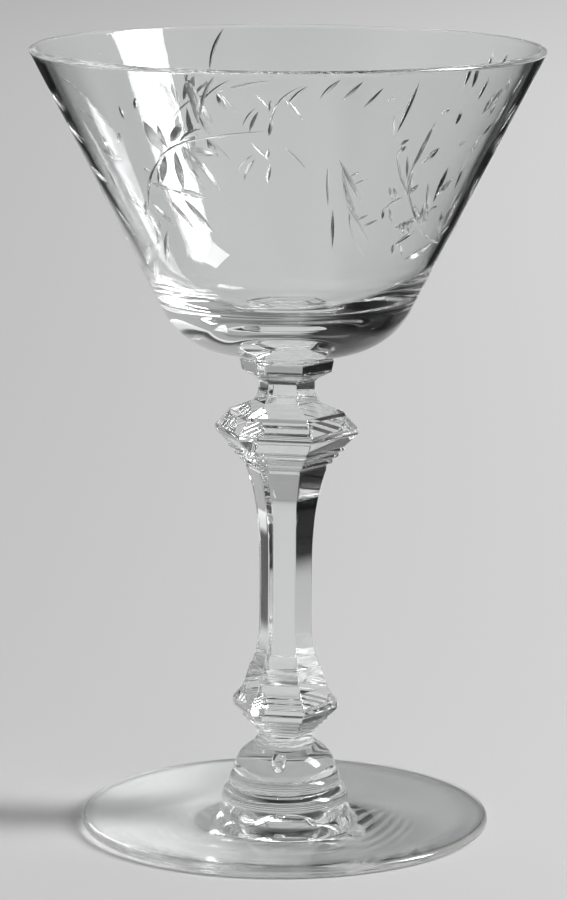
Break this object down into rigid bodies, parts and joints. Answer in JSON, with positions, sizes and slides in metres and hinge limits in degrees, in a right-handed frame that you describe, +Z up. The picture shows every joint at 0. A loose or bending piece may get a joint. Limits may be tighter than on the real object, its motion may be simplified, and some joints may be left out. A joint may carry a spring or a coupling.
{
  "type": "stemmed cocktail glass",
  "caption": "Clear glass with a flared bowl on a knopped, six sided stem and a flat disc foot, for serving a short drink.",
  "frame": {"origin": "centre of the foot on the surface that the glass stands on", "axes": "+Z up along the axis of the glass, from the foot to the rim; the stem's front facet faces about -Y"},
  "size_m": [0.0904, 0.0904, 0.14],
  "materials": {
    "bowl_glass": "clear blown glass, polished, with wheel cut sprays left grey",
    "stem_glass": "clear pressed glass, fire polished, with soft edges",
    "knop_glass": "clear tooled glass with one air bubble",
    "ring_glass": "clear tooled glass, softly rounded",
    "foot_glass": "clear blown glass, polished, with a round edge"
  },
  "bodies": {
    "root": {"bowl": "bowl_glass", "stem": "stem_glass", "base_knop": "knop_glass", "foot_ring": "ring_glass", "foot": "foot_glass"}
  },
  "joints": []
}
